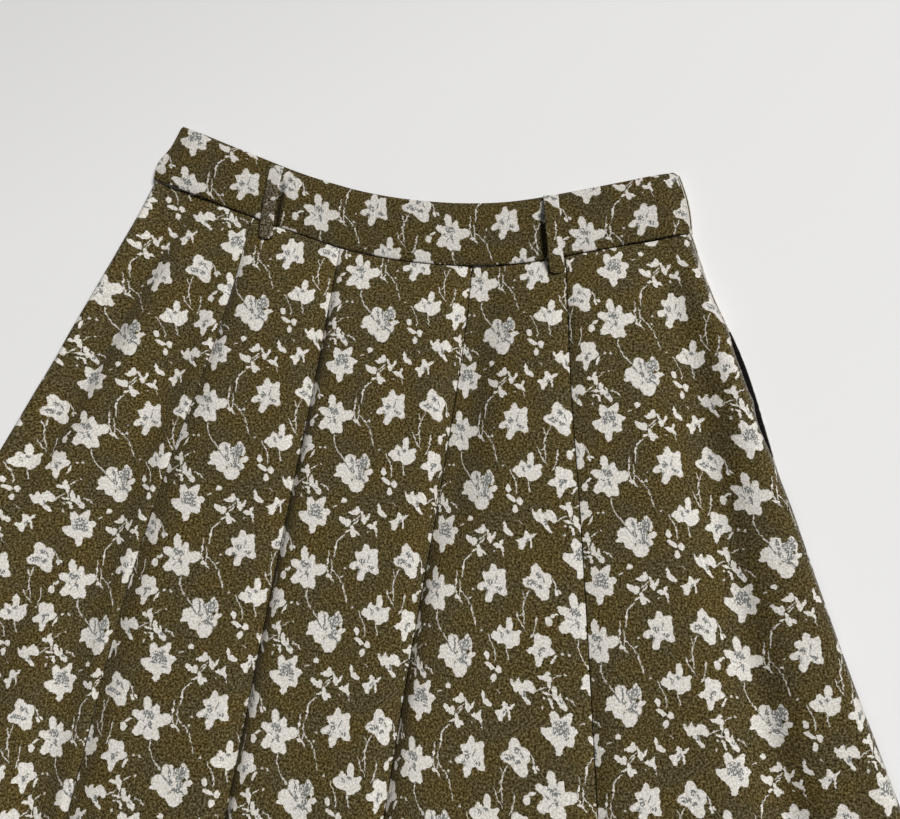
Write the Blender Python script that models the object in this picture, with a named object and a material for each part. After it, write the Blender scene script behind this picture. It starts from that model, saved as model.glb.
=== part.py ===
"""A-line skirt of five gores in front and five behind, lying flat on its back with the front up.

Lengths are in metres. X runs across the skirt, +Y points to the waist and +Z up from the surface that it
lies on. The origin is under the middle of its box. A point of a gore is worked out from two numbers: how
far down from the waist seam it lies along the cloth, and its share of the way across the gore. Every
thread that runs down is as long as the next, so the hem curves as the waist does.
"""

from collections import namedtuple

import bmesh
import bpy
import numpy as np

# Cloth
CLOTH = 0.0013  # one layer of the jacquard
BAND_CLOTH = 0.0024  # the waistband: two layers and the interfacing between them
LOOP_CLOTH = 0.0015  # a belt loop: a strip folded in three and pressed
TAPE_CLOTH = 0.0007
GAP = 0.0003  # between pieces that touch

# Cut
GORE_LENGTH = 0.64  # from the waist seam to the hem
LOOP_WIDTH = 0.0092
LOOP_LENGTH = 0.0505
LOOP_UNDER = 0.0120  # how far a loop reaches below the waist seam

# How far across the skirt each line of the front lies, at lengths down from the waist seam.
Section = namedtuple("Section", "down left_edge left_outer left_inner right_inner right_outer right_edge")
SECTIONS = (
    Section(0.00, -0.1750, -0.1040, -0.0435, 0.0415, 0.0980, 0.1730),
    Section(0.04, -0.1850, -0.1070, -0.0443, 0.0428, 0.1040, 0.1885),
    Section(0.08, -0.1980, -0.1115, -0.0450, 0.0426, 0.1100, 0.2076),
    Section(0.16, -0.2240, -0.1258, -0.0478, 0.0407, 0.1245, 0.2365),
    Section(0.24, -0.2515, -0.1368, -0.0505, 0.0380, 0.1382, 0.2673),
    Section(0.36, -0.2930, -0.1450, -0.0540, 0.0358, 0.1580, 0.3161),
    Section(0.64, -0.3900, -0.1680, -0.0640, 0.0430, 0.2020, 0.4240),
)

# How far the waist seam lies below the level of the waistband's corners, and how deep the band looks there.
WaistPoint = namedtuple("WaistPoint", "across drop depth")
WAIST_SEAM = (
    WaistPoint(-0.175, 0.0370, 0.0410),
    WaistPoint(-0.124, 0.0510, 0.0392),
    WaistPoint(-0.082, 0.0625, 0.0385),
    WaistPoint(-0.032, 0.0735, 0.0400),
    WaistPoint(0.018, 0.0765, 0.0410),
    WaistPoint(0.064, 0.0720, 0.0410),
    WaistPoint(0.118, 0.0570, 0.0406),
    WaistPoint(0.173, 0.0400, 0.0410),
)

# The front sinks at each seam. At lengths down: how high its bottom stays, and how far the cloth takes to rise
# from it on its left and on its right.
Sink = namedtuple("Sink", "line down bottom left right")
SINKS = (
    Sink("left_outer", 0.00, 0.0032, 0.006, 0.004),
    Sink("left_outer", 0.10, 0.0042, 0.005, 0.004),
    Sink("left_outer", 0.16, 0.0034, 0.004, 0.005),
    Sink("left_outer", 0.26, 0.0028, 0.003, 0.007),
    Sink("left_outer", 0.64, 0.0028, 0.003, 0.008),
    Sink("left_inner", 0.00, 0.0020, 0.004, 0.0035),
    Sink("left_inner", 0.64, 0.0014, 0.005, 0.005),
    Sink("right_inner", 0.00, 0.0004, 0.004, 0.010),
    Sink("right_inner", 0.05, 0.0001, 0.004, 0.012),
    Sink("right_inner", 0.15, 0.0002, 0.004, 0.011),
    Sink("right_inner", 0.20, 0.0024, 0.004, 0.0045),
    Sink("right_inner", 0.64, 0.0020, 0.005, 0.006),
    Sink("right_outer", 0.00, 0.0036, 0.004, 0.004),
    Sink("right_outer", 0.05, 0.0062, 0.004, 0.004),
    Sink("right_outer", 0.09, 0.0078, 0.005, 0.006),
    Sink("right_outer", 0.22, 0.0078, 0.006, 0.007),
    Sink("right_outer", 0.27, 0.0062, 0.006, 0.006),
    Sink("right_outer", 0.64, 0.0052, 0.008, 0.008),
)

# Soft troughs along the front, each measured from one line of the sections, to its right if positive: how far
# it reaches on its left and its right, and how deep it is.
Fold = namedtuple("Fold", "line start end offset_start offset_end left right depth")
FOLDS = (
    Fold("left_edge", -0.04, 0.24, 0.018, 0.021, 0.012, 0.014, 0.0116),
    Fold("left_edge", 0.08, 0.66, 0.050, 0.086, 0.018, 0.022, 0.0056),
    Fold("left_outer", -0.04, 0.66, -0.018, -0.021, 0.020, 0.020, 0.0080),
    Fold("left_inner", 0.22, 0.62, 0.036, 0.040, 0.010, 0.010, 0.0010),
    Fold("right_inner", -0.02, 0.19, 0.006, 0.009, 0.006, 0.014, 0.0050),
    Fold("right_inner", 0.26, 0.64, 0.034, 0.052, 0.013, 0.013, 0.0013),
    Fold("right_outer", 0.30, 0.66, 0.060, 0.085, 0.018, 0.018, 0.0018),
    Fold("right_edge", -0.05, 0.62, -0.016, -0.084, 0.015, 0.013, 0.0082),
)
FOLD_FADES = 0.25  # the share of a trough's length over which each of its ends fades

# Height of the front's underside over the back
LIFT_AT_BAND = 0.0036  # at the waist seam
LIFT_OF_GORE = 0.0096  # in the middle of a gore
LIFT_REACHED = 0.05  # how far down a gore reaches its full lift
LIFT_AT_HEM = 0.0024
HEM_FALLS_OVER = 0.07  # how far above the hem the lift starts to fall to that
LIFT_AT_EDGE = 0.0002
EDGE_ROLLS_OVER = {"left_edge": 0.006, "right_edge": 0.011}  # from a side edge up to the full lift
SEAM_STEEPNESS = 1.25

# The closed zip in the right side seam
ZIP_INSET = 0.0018  # how far the front's edge stays behind the back's along the zip
ZIP_END = 0.135, 0.180  # where, down from the waist seam, that inset dies away
Slit = namedtuple("Slit", "start end inset tape_edge")
SLIT = Slit(0.064, 0.146, 0.0021, 0.0007)  # where the zip gapes: its further inset, and the cloth beyond it
SLIT_OPENS_OVER, SLIT_CLOSES_OVER = 0.016, 0.024

# Belt loops: where the top and the bottom lie across, and which long edge stands up most
Loop = namedtuple("Loop", "name across_top across_bottom inner_side")
LOOPS = (
    Loop("belt_loop_left", -0.0927, -0.0914, 1),
    Loop("belt_loop_right", 0.0845, 0.0944, -1),
)
LOOP_ARCH = 0.0016  # how far its middle stands off the band
LOOP_TILT = 0.0026  # how much further its inner edge does
LOOP_STEPS_DOWN = 0.008  # past the band's edge, until it lies on the gore
LOOP_ON_GORE = 0.0012  # how much higher the gore is there than at the seam

# The waistband's front
BAND_LIFT = 0.0024  # how far it stands off the back's
BAND_ENDS_OVER = 0.014  # from its ends, where it meets the back's, to its full lift
BAND_END_FADES = 0.012  # how far in the bulge of its ends is felt

# Steps of the grids
DOWNS = GAP + (GORE_LENGTH - GAP) * np.linspace(0, 1, 31) ** 1.3  # closer together near the waist
INNER_COLUMNS = 8
OUTER_COLUMNS = 18
BACK_COLUMNS = 5  # enough that their chords stay clear of the band
BAND_COLUMNS = 26
BAND_ROWS = 6
LOOP_ROWS = 14
LOOP_COLUMNS = 2
STATIONS = np.linspace(0.0, GORE_LENGTH, 129)

SHARP_EDGE = np.radians(40)

COLLECTION = "a_line_skirt"
LINES = Section._fields[1:]
GORES = ("outer_left", "side_left", "centre", "side_right", "outer_right")
OUTER = ("outer_left", "outer_right")

GROUND_COLOUR = (0.080, 0.060, 0.028, 1.0)
TAPE_COLOUR = (0.012, 0.011, 0.010, 1.0)


def smooth(places, values, at):
    """A smooth curve through the values: between two places, the cubic whose slopes are those of the
    neighbours' chords."""
    places, values, at = (np.asarray(each, float) for each in (places, values, at))
    slopes = np.gradient(values, places)
    i = np.clip(np.searchsorted(places, at) - 1, 0, len(places) - 2)
    step = places[i + 1] - places[i]
    t = (at - places[i]) / step
    rise = values[i + 1] - values[i]
    bend_in = slopes[i] * step - rise
    bend_out = rise - slopes[i + 1] * step
    return values[i] + t * rise + t * (1 - t) * ((1 - t) * bend_in + t * bend_out)


def smoothstep(at, start, end):
    t = np.clip((at - start) / (end - start), 0, 1)
    return t * t * (3 - 2 * t)


def line_across(line, down):
    """How far across the skirt one of the sections' lines lies."""
    return smooth([s.down for s in SECTIONS], [getattr(s, line) for s in SECTIONS], down)


def along_waist(column, across):
    """The drop or the depth of the waistband's table, at places across the skirt."""
    return smooth([p.across for p in WAIST_SEAM], [getattr(p, column) for p in WAIST_SEAM], across)


def waist_drop(across):
    return along_waist("drop", across)


def even_shares(count):
    """Shares across a gore that crowd together at its two seams."""
    return (1 - np.cos(np.linspace(0, np.pi, count + 1))) / 2


def zip_inset(down):
    """How far the front's right edge stays behind the back's: along the zip, and more where it gapes."""
    along_zip = 1 - smoothstep(down, *ZIP_END)
    opens = smoothstep(down, SLIT.start, SLIT.start + SLIT_OPENS_OVER)
    closes = smoothstep(down, SLIT.end - SLIT_CLOSES_OVER, SLIT.end)
    return ZIP_INSET * along_zip + SLIT.inset * (opens - closes)


def gore_plan(gore, shares, downs, front):
    """Across and drop of a gore's points, as arrays of [down, share]: across is the blend of the gore's
    two lines, and the drop adds up the fall of each thread, which is as long as the gore."""
    left, right = LINES[gore], LINES[gore + 1]
    left_line = line_across(left, STATIONS) + (GAP / 2 if gore else 0)
    right_line = line_across(right, STATIONS) - (GAP / 2 if gore < len(GORES) - 1 else 0)
    if front and right == "right_edge":
        right_line = right_line - zip_inset(STATIONS)
    across = left_line[:, None] * (1 - shares) + right_line[:, None] * shares
    fall = np.sqrt(1 - np.gradient(across, STATIONS, axis=0) ** 2)
    step = np.diff(STATIONS)[:, None] * (fall[1:] + fall[:-1]) / 2
    drop = waist_drop(across[0]) + np.vstack([np.zeros(len(shares)), np.cumsum(step, axis=0)])
    at = [[np.interp(downs, STATIONS, column) for column in table.T] for table in (across, drop)]
    return np.array(at[0]).T, np.array(at[1]).T


def sink_at(line, column, downs):
    rows = [sink for sink in SINKS if sink.line == line]
    return np.interp(downs, [sink.down for sink in rows], [getattr(sink, column) for sink in rows])[:, None]


def front_lift(gore, across, downs):
    """Height of the front's underside over the back: low at the seams and the hem, full between them, less the
    soft troughs. It rises from a seam as 1 - exp(-(away / reach)^p), and from a side edge along a quarter of an
    ellipse. A trough is a bell across its line, and fades out at its two ends."""
    down = downs[:, None]
    full = LIFT_AT_BAND + (LIFT_OF_GORE - LIFT_AT_BAND) * smoothstep(down, 0, LIFT_REACHED)
    full = full - (LIFT_OF_GORE - LIFT_AT_HEM) * smoothstep(down, GORE_LENGTH - HEM_FALLS_OVER, GORE_LENGTH)
    lift = full + 0 * across
    for fold in FOLDS:
        way = (down - fold.start) / (fold.end - fold.start)
        offset = fold.offset_start + (fold.offset_end - fold.offset_start) * way
        from_middle = across - line_across(fold.line, downs)[:, None] - offset
        share = from_middle / np.where(from_middle < 0, fold.left, fold.right)
        fade = smoothstep(way, 0, FOLD_FADES) - smoothstep(way, 1 - FOLD_FADES, 1)
        lift = lift - fold.depth * fade * np.exp(-(share**2))
    for number in (gore, gore + 1):
        line = LINES[number]
        along = line_across(line, downs)
        if line == "right_edge":
            along = along - zip_inset(downs)
        away = np.abs(across - along[:, None])
        if line.endswith("edge"):
            low = LIFT_AT_EDGE
            rise = np.sqrt(1 - np.clip(1 - away / EDGE_ROLLS_OVER[line], 0, 1) ** 2)
        else:
            low = np.minimum(sink_at(line, "bottom", downs), full)
            reach = sink_at(line, "right" if number == gore else "left", downs)
            rise = 1 - np.exp(-((away / reach) ** SEAM_STEEPNESS))
        lift = low + (lift - low) * rise
    return np.maximum(lift, 0)


def wall(name, points, thickness, material, frame):
    """A piece of cloth: the grid of its underside's points, [row, column, xyz], raised by its thickness.
    It goes in the skirt's collection, hangs from the frame and takes its material."""
    rows, columns = points.shape[0] - 1, points.shape[1] - 1
    sheet = bmesh.new()
    bmesh.ops.create_grid(sheet, x_segments=columns, y_segments=rows, size=1.0)
    for vertex in sheet.verts:
        column = round((vertex.co.x + 1) / 2 * columns)
        row = round((1 - vertex.co.y) / 2 * rows)
        vertex.co = points[row, column]
    raised = bmesh.ops.extrude_face_region(sheet, geom=sheet.faces[:], use_keep_orig=True)
    upper = [each for each in raised["geom"] if isinstance(each, bmesh.types.BMVert)]
    bmesh.ops.translate(sheet, verts=upper, vec=(0, 0, thickness))
    bmesh.ops.recalc_face_normals(sheet, faces=sheet.faces[:])
    mesh = bpy.data.meshes.new(name)
    sheet.to_mesh(mesh)
    sheet.free()
    mesh.materials.append(material)
    mesh.shade_smooth()
    mesh.set_sharp_from_angle(angle=SHARP_EDGE)
    piece = bpy.data.objects.new(name, mesh)
    bpy.data.collections[COLLECTION].objects.link(piece)
    piece.parent = frame


def stacked(across, drop, height):
    """Points of [row, column, xyz] from how far across and down they lie, and their height."""
    return np.stack([across, -drop, np.broadcast_to(height, across.shape)], axis=-1)


def make_gores(cloth, frame):
    """Five gores in front, with their folds, on five flat ones behind."""
    for gore, name in enumerate(GORES):
        shares = even_shares(OUTER_COLUMNS if name in OUTER else INNER_COLUMNS)
        across, drop = gore_plan(gore, shares, DOWNS, front=True)
        underside = CLOTH + GAP + front_lift(gore, across, DOWNS)
        wall("front_" + name, stacked(across, drop, underside), CLOTH, cloth, frame)
        across, drop = gore_plan(gore, np.linspace(0, 1, BACK_COLUMNS + 1), DOWNS, front=False)
        wall("back_" + name, stacked(across, drop, 0.0), CLOTH, cloth, frame)


def band_ends(across, up):
    """How far the two ends of the band bulge outwards, fading inwards: the left one low down, the right one
    along its height, each with a rounded upper corner."""
    corner = smoothstep(up, 0.92, 1) ** 2
    left = 0.0036 * np.exp(-(((up - 0.27) / 0.24) ** 2)) - 0.0010 * corner
    right = 0.0004 + 0.0018 * np.sin(np.pi * up) - 0.0020 * corner
    from_left, from_right = across - across[:1], across[-1:] - across
    fades = [np.exp(-each / BAND_END_FADES) for each in (from_left, from_right)]
    return right[:, None] * fades[1] - left[:, None] * fades[0]


def band_plan(along, up, right_inset):
    """Across and drop of the waistband's points, as arrays of [up, along]: the waist seam, moved up along
    its own normal by a share of the band's depth, with its ends' bulge."""
    first, last = WAIST_SEAM[0].across, WAIST_SEAM[-1].across - right_inset
    across = first + (last - first) * along
    drop = waist_drop(across)
    slope = np.gradient(drop, across)
    rise = up[:, None] * along_waist("depth", across) / np.sqrt(1 + slope**2)
    bulge = band_ends(across, up)
    return across + rise * slope + bulge, drop - rise + bulge * slope


def make_waistband(cloth, frame):
    along = even_shares(BAND_COLUMNS)
    up = np.linspace(1, 0, BAND_ROWS + 1)
    for name, right_inset, underside, full_lift in (
        ("waistband_back", 0.0, 0.0, 0.0),
        ("waistband_front", ZIP_INSET, BAND_CLOTH + GAP, BAND_LIFT),
    ):
        across, drop = band_plan(along, up, right_inset)
        from_end = np.minimum(across - across[:, :1], across[:, -1:] - across)
        lift = full_lift * smoothstep(from_end, 0, BAND_ENDS_OVER)
        wall(name, stacked(across, drop, underside + lift), BAND_CLOTH, cloth, frame)


def make_belt_loops(cloth, frame):
    """Each loop lies over the front of the band, from its top edge to a little below the waist seam."""
    way = np.linspace(0, 1, LOOP_ROWS + 1)
    sides = np.linspace(-0.5, 0.5, LOOP_COLUMNS + 1)
    band_top = 2 * BAND_CLOTH + GAP + BAND_LIFT
    gore_top = 2 * CLOTH + GAP + LIFT_AT_BAND + LOOP_ON_GORE
    for loop in LOOPS:
        centre = loop.across_top + (loop.across_bottom - loop.across_top) * way
        bottom = waist_drop(loop.across_bottom) + LOOP_UNDER
        drop = bottom - LOOP_LENGTH * (1 - way)
        lean = (loop.across_bottom - loop.across_top) / LOOP_LENGTH
        across = centre[:, None] + sides * LOOP_WIDTH
        drops = drop[:, None] - sides * LOOP_WIDTH * lean
        past_band = smoothstep(drops - waist_drop(across), 0, LOOP_STEPS_DOWN)
        rest = band_top + (gore_top - band_top) * past_band + GAP
        arch = np.sin(np.pi * way)[:, None]
        tilt = 0.5 + sides * loop.inner_side
        height = rest + arch * (LOOP_ARCH + LOOP_TILT * tilt)
        wall(loop.name, stacked(across, drops, height), LOOP_CLOTH, cloth, frame)


def make_zip_tape(tape, frame):
    """The strip of tape that shows in the slit, between the front's edge and the back's. Its rows are the
    gore's, from the last one before the slit, so that its straight stretches lie along the gore's."""
    first = np.searchsorted(DOWNS, SLIT.start) - 1
    downs = DOWNS[first:np.searchsorted(DOWNS, SLIT.end)]
    edges = [gore_plan(len(GORES) - 1, np.array([1.0]), downs, front) for front in (True, False)]
    across = np.hstack([edges[0][0] + GAP, edges[1][0] - SLIT.tape_edge])
    drop = np.hstack([edges[0][1], edges[1][1]])
    points = stacked(across, drop, CLOTH + GAP)
    wall("side_zip_tape", points, TAPE_CLOTH, tape, frame)


def box_middle():
    """The middle of the skirt's outline, across and drop."""
    shares = np.linspace(0, 1, 9)
    sheets = [gore_plan(gore, shares, STATIONS, front=False) for gore in range(len(GORES))]
    band = band_plan(even_shares(BAND_COLUMNS), np.array([1.0, 0.0]), 0.0)
    across = np.concatenate([plan[0].ravel() for plan in [*sheets, band]])
    drop = np.concatenate([plan[1].ravel() for plan in [*sheets, band]])
    return (across.min() + across.max()) / 2, (drop.min() + drop.max()) / 2


def new_material(name, colour, roughness):
    material = bpy.data.materials.new(name)
    material.use_nodes = True
    shader = material.node_tree.nodes["Principled BSDF"]
    shader.inputs["Base Color"].default_value = colour
    shader.inputs["Roughness"].default_value = roughness
    shader.inputs["Metallic"].default_value = 0.0
    return material


def main():
    for thing in list(bpy.data.objects):
        bpy.data.objects.remove(thing)
    parts = bpy.data.collections.new(COLLECTION)
    bpy.context.scene.collection.children.link(parts)
    frame = bpy.data.objects.new("skirt_frame", None)
    parts.objects.link(frame)
    middle_across, middle_drop = box_middle()
    frame.location = (-middle_across, middle_drop, 0.0)
    cloth = new_material("olive_jacquard", GROUND_COLOUR, 0.9)
    tape = new_material("dark_zip_tape", TAPE_COLOUR, 0.8)
    make_gores(cloth, frame)
    make_waistband(cloth, frame)
    make_belt_loops(cloth, frame)
    make_zip_tape(tape, frame)


main()
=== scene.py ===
from collections import namedtuple

import bpy
import numpy as np
from bpy.props import FloatProperty, FloatVectorProperty, PointerProperty
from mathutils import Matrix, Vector


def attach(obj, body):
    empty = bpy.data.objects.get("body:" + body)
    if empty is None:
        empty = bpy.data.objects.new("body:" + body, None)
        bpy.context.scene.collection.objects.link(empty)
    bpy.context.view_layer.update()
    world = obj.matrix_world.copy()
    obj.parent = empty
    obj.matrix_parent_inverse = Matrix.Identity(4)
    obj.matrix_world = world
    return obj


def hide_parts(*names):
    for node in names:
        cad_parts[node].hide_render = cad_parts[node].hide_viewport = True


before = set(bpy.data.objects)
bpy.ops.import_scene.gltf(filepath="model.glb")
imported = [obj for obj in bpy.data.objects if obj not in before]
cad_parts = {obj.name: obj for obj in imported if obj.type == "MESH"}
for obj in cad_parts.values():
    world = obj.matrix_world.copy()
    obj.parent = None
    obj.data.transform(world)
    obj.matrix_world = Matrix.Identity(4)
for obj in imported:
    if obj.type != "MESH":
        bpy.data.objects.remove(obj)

bl_info = {
    "name": "Gored A-line skirt",
    "version": (1, 0, 0),
    "blender": (4, 5, 0),
    "location": "3D View > Sidebar > Skirt",
    "description": "Sews the jacquard gores, waistband, belt loops and side zip of an A-line skirt laid flat",
    "category": "Add Mesh",
}


def table(columns, *rows):
    """Rows with named columns."""
    row = namedtuple("row", columns)
    return tuple(row(*each) for each in rows)


# Lengths are in metres, but for the print's chart. A place on the skirt is given across it, to the right, and
# as a drop from the level of the waistband's corners. These two put it in the frame.
MIDDLE_ACROSS = 0.017
MIDDLE_DROP = 0.35695

# Between two pieces at a seam; a gore's length; and a belt loop's size, and how far it reaches below the seam
GAP = 0.0003
GORE_LENGTH = 0.64
LOOP_WIDTH, LOOP_LENGTH, LOOP_UNDER = 0.0092, 0.0505, 0.0120

# How far across the skirt each line of the front lies, at lengths down from the waist seam
SECTIONS = table(
    "down left_edge left_outer left_inner right_inner right_outer right_edge",
    (0.00, -0.1750, -0.1040, -0.0435, 0.0415, 0.0980, 0.1730),
    (0.04, -0.1850, -0.1070, -0.0443, 0.0428, 0.1040, 0.1885),
    (0.08, -0.1980, -0.1115, -0.0450, 0.0426, 0.1100, 0.2076),
    (0.16, -0.2240, -0.1258, -0.0478, 0.0407, 0.1245, 0.2365),
    (0.24, -0.2515, -0.1368, -0.0505, 0.0380, 0.1382, 0.2673),
    (0.36, -0.2930, -0.1450, -0.0540, 0.0358, 0.1580, 0.3161),
    (0.64, -0.3900, -0.1680, -0.0640, 0.0430, 0.2020, 0.4240),
)
LINES = SECTIONS[0]._fields[1:]

# How far the waist seam lies below the level of the waistband's corners, and how deep the band looks there
WAIST_SEAM = table(
    "across drop depth",
    (-0.175, 0.0370, 0.0410),
    (-0.124, 0.0510, 0.0392),
    (-0.082, 0.0625, 0.0385),
    (-0.032, 0.0735, 0.0400),
    (0.018, 0.0765, 0.0410),
    (0.064, 0.0720, 0.0410),
    (0.118, 0.0570, 0.0406),
    (0.173, 0.0400, 0.0410),
)

# The front sinks at each seam. At lengths down: how high its bottom stays, and how far the cloth takes to
# rise from it on its left and on its right
SINK = "down bottom left right"
SINKS = {
    "left_outer": table(
        SINK,
        (0.00, 0.0032, 0.006, 0.004),
        (0.10, 0.0042, 0.005, 0.004),
        (0.16, 0.0034, 0.004, 0.005),
        (0.26, 0.0028, 0.003, 0.007),
        (0.64, 0.0028, 0.003, 0.008),
    ),
    "left_inner": table(
        SINK,
        (0.00, 0.0020, 0.004, 0.0035),
        (0.64, 0.0014, 0.005, 0.005),
    ),
    "right_inner": table(
        SINK,
        (0.00, 0.0004, 0.004, 0.010),
        (0.05, 0.0001, 0.004, 0.012),
        (0.15, 0.0002, 0.004, 0.011),
        (0.20, 0.0024, 0.004, 0.0045),
        (0.64, 0.0020, 0.005, 0.006),
    ),
    "right_outer": table(
        SINK,
        (0.00, 0.0036, 0.004, 0.004),
        (0.05, 0.0062, 0.004, 0.004),
        (0.09, 0.0078, 0.005, 0.006),
        (0.22, 0.0078, 0.006, 0.007),
        (0.27, 0.0062, 0.006, 0.006),
        (0.64, 0.0052, 0.008, 0.008),
    ),
}

# Soft troughs along the front, each measured from one line of the sections, to its right if positive: how
# far it reaches on its left and its right, and how deep it is
FOLDS = table(
    "line start end offset_start offset_end left right depth",
    ("left_edge", -0.04, 0.24, 0.018, 0.021, 0.012, 0.014, 0.0116),
    ("left_edge", 0.08, 0.66, 0.050, 0.086, 0.018, 0.022, 0.0056),
    ("left_outer", -0.04, 0.66, -0.018, -0.021, 0.020, 0.020, 0.0080),
    ("left_inner", 0.22, 0.62, 0.036, 0.040, 0.010, 0.010, 0.0010),
    ("right_inner", -0.02, 0.19, 0.006, 0.009, 0.006, 0.014, 0.0050),
    ("right_inner", 0.26, 0.64, 0.034, 0.052, 0.013, 0.013, 0.0013),
    ("right_outer", 0.30, 0.66, 0.060, 0.085, 0.018, 0.018, 0.0018),
    ("right_edge", -0.05, 0.62, -0.016, -0.084, 0.015, 0.013, 0.0082),
)
FOLD_FADES = 0.25  # the share of a trough's length over which each of its ends fades

# Height of the front over the back: along the waist seam, in the middle of a gore and how far down it is
# reached, and at the hem and how far above it the fall to that starts. Right under the band the cloth is
# tucked in, and at the side edges it rolls over to the back.
LIFT_AT_BAND, LIFT_OF_GORE, LIFT_REACHED = 0.0036, 0.0096, 0.05
LIFT_AT_HEM, HEM_FALLS_OVER = 0.0024, 0.07
TUCK_DEPTH, TUCK_OVER = 0.0012, 0.0030
LIFT_AT_EDGE, EDGE_ROLLS_OVER = 0.0002, {"left_edge": 0.006, "right_edge": 0.011}
SEAM_STEEPNESS = 1.25

# Small unevenness of the laid cloth: waves of unlike length, turn and height
WAVES = table(
    "length turn height shift",
    (0.093, 14, 0.00022, 0.4),
    (0.061, 78, 0.00016, 2.1),
    (0.043, -32, 0.00012, 4.4),
    (0.027, 61, 0.00007, 1.3),
    (0.018, -70, 0.00004, 3.0),
)
WAVES_START_AT = 0.0004, 0.003  # the heights of the cloth between which they set in

# The print: where the lattice of the repeat starts on each gore and how far its grain is turned, clockwise
FRONT_GRAIN = table(
    "gore across drop turn",
    ("outer_left", -0.1700, 0.1431, -5.78),
    ("side_left", -0.0907, 0.1195, -0.58),
    ("centre", -0.0105, 0.1173, 0.69),
    ("side_right", 0.0653, 0.1181, 0.04),
    ("outer_right", 0.1541, 0.1342, -2.01),
)
# How far the front of each gore is pulled out of its grain, to the right and down: a quadratic of the place
# in its print, in metres, as the factors of 1, right, down, right^2, right * down and down^2. The factors
# are fitted ones, solved outside this script. The pull stays as it is past a reach.
PULLS = table(
    "gore right down",
    (
        "outer_left",
        (0.00006, 0.148, 0.045, -1.237, -1.116, -0.190),
        (0.00242, 0.010, -0.013, 0.156, -0.367, -0.073),
    ),
    (
        "side_left",
        (0.00180, 0.058, 0.014, -0.281, 0.032, -0.043),
        (0.00157, 0.028, -0.005, -0.235, -0.326, -0.020),
    ),
    (
        "centre",
        (0.00213, -0.006, 0.000, 0.171, -0.108, -0.010),
        (0.00238, -0.020, -0.017, 0.749, 0.143, -0.004),
    ),
    (
        "side_right",
        (-0.00037, -0.047, -0.003, 1.932, -0.255, 0.024),
        (0.00035, -0.008, -0.003, 0.551, 0.265, 0.013),
    ),
    (
        "outer_right",
        (-0.00218, 0.006, 0.027, 0.895, -0.370, -0.098),
        (-0.00028, -0.012, 0.005, 1.535, -0.228, -0.104),
    ),
)
PULL_REACH = (-0.075, 0.060), (-0.090, 0.250)
BACK_GRAIN = table(
    "gore across drop turn",
    ("outer_left", -0.1530, 0.1220, 4.2),
    ("side_left", -0.0800, 0.1010, 1.1),
    ("centre", 0.0120, 0.1290, -0.3),
    ("side_right", 0.0810, 0.1130, -0.9),
    ("outer_right", 0.1690, 0.1280, -4.6),
)
GORES = tuple(grain.gore for grain in FRONT_GRAIN)

# The closed zip in the right side seam: how far the front's edge stays behind the back's along it, and where
# that dies away; the slit where it gapes, with the cloth beyond the tape, its two ends, and a pinch; and the
# tape's cut, how far under the front it starts, and the rows and columns of its grid
ZIP_INSET = 0.0018
ZIP_END = 0.135, 0.180
Slit = namedtuple("Slit", "start end inset tape_edge")
SLIT = Slit(0.064, 0.146, 0.0021, 0.0007)
SLIT_OPENS_OVER, SLIT_CLOSES_OVER = 0.016, 0.024
SLIT_PINCH, SLIT_PINCHED_AT, SLIT_PINCH_OVER = 0.6, 0.110, 0.005
TAPE_CUT, TAPE_UNDER, TAPE_GRID = (0.012, SLIT.end - SLIT.start), 0.0045, (45, 9)

# A belt loop: where its middle line starts and ends, on which side it is raised, where its print starts, how
# much pale painted sheen greys it and how dark it is, and how far aside its crease lies and how much painted
# shade is put in that crease. Then how far its middle arches and its raised edge tilts up, over what length
# it steps down off the band, how much higher than at the seam the gore is there, how its lower end is
# rounded, its flat width, and the steps of its grid.
LOOPS = table(
    "name across_top across_bottom inner_side print_right print_down wear darker crease_aside crease_darker",
    ("belt_loop_left", -0.0927, -0.0914, 1, 0.0750, 0.0872, 0.46, -0.02, 0.0046, 0.75),
    ("belt_loop_right", 0.0845, 0.0944, -1, 0.0406, 0.0464, 0.0, 0.10, 0.0058, 0.0),
)
LOOP_ARCH, LOOP_TILT, LOOP_STEPS_DOWN = 0.0016, 0.0026, 0.008
LOOP_ON_GORE = 0.0012
LOOP_END_ROUNDS, LOOP_END_OVER = 0.0016, 0.006
LOOP_CUT_WIDTH, LOOP_PITCH = 0.010, (0.0012, 0.0007)

# Each half of the band: its flat size; the height of its front over its back, and how far from its ends that
# is reached; how far its left end bulges, at what share of its height most, and over what share; how far its
# right end does, and how much more in its middle; how much each upper corner is rounded off, and from what
# share up; how far in the ends' shape is felt; how much its long edges sink; how much shorter and lower than
# the gores' its waves are; half the width of the crease beside a loop's raised edge, which also takes painted
# shade, and between what shares up that fades; and how much darker than the gores its colour is made
BAND_LIFT, BAND_ENDS_OVER = 0.0024, 0.014
LEFT_END_BULGE, LEFT_END_WIDEST, LEFT_END_OVER = 0.0036, 0.27, 0.24
RIGHT_END_BULGE, RIGHT_END_MORE = 0.0004, 0.0018
LEFT_CORNER, RIGHT_CORNER, CORNER_FROM = 0.0010, 0.0020, 0.92
BAND_END_FADES = 0.012
BAND_EDGE_SINKS, BAND_EDGE_OVER = 0.0008, 0.0035
BAND_WAVES_SHORTER, BAND_WAVES_LOWER = 1.7, 0.4
CREASE_HALF_WIDTH, CREASE_FADES = 0.0020, (0.55, 0.85)
BAND_DARKER = 0.10

# Paleness of the cloth along its side edges, mostly painted sheen where the cloth rolls over with a little
# rubbed fuzz, and how far in it reaches; how far in the painted highlight along the zip reaches on the edges
# of the front, the back and the band, and how pale it is; and what the slit takes off that, and over what
# length
EDGE_WEAR_AND_SHEEN, EDGE_WEAR_AND_SHEEN_OVER = 0.56, 0.0055
ZIP_WEAR_AND_SHEEN = {"front": (0.0010, 0.8), "back": (0.0008, 1.0), "band": (0.0010, 1.0)}
SLIT_LESS_WEAR_AND_SHEEN, SLIT_WEAR_AND_SHEEN_FADES = 0.35, 0.004

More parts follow.
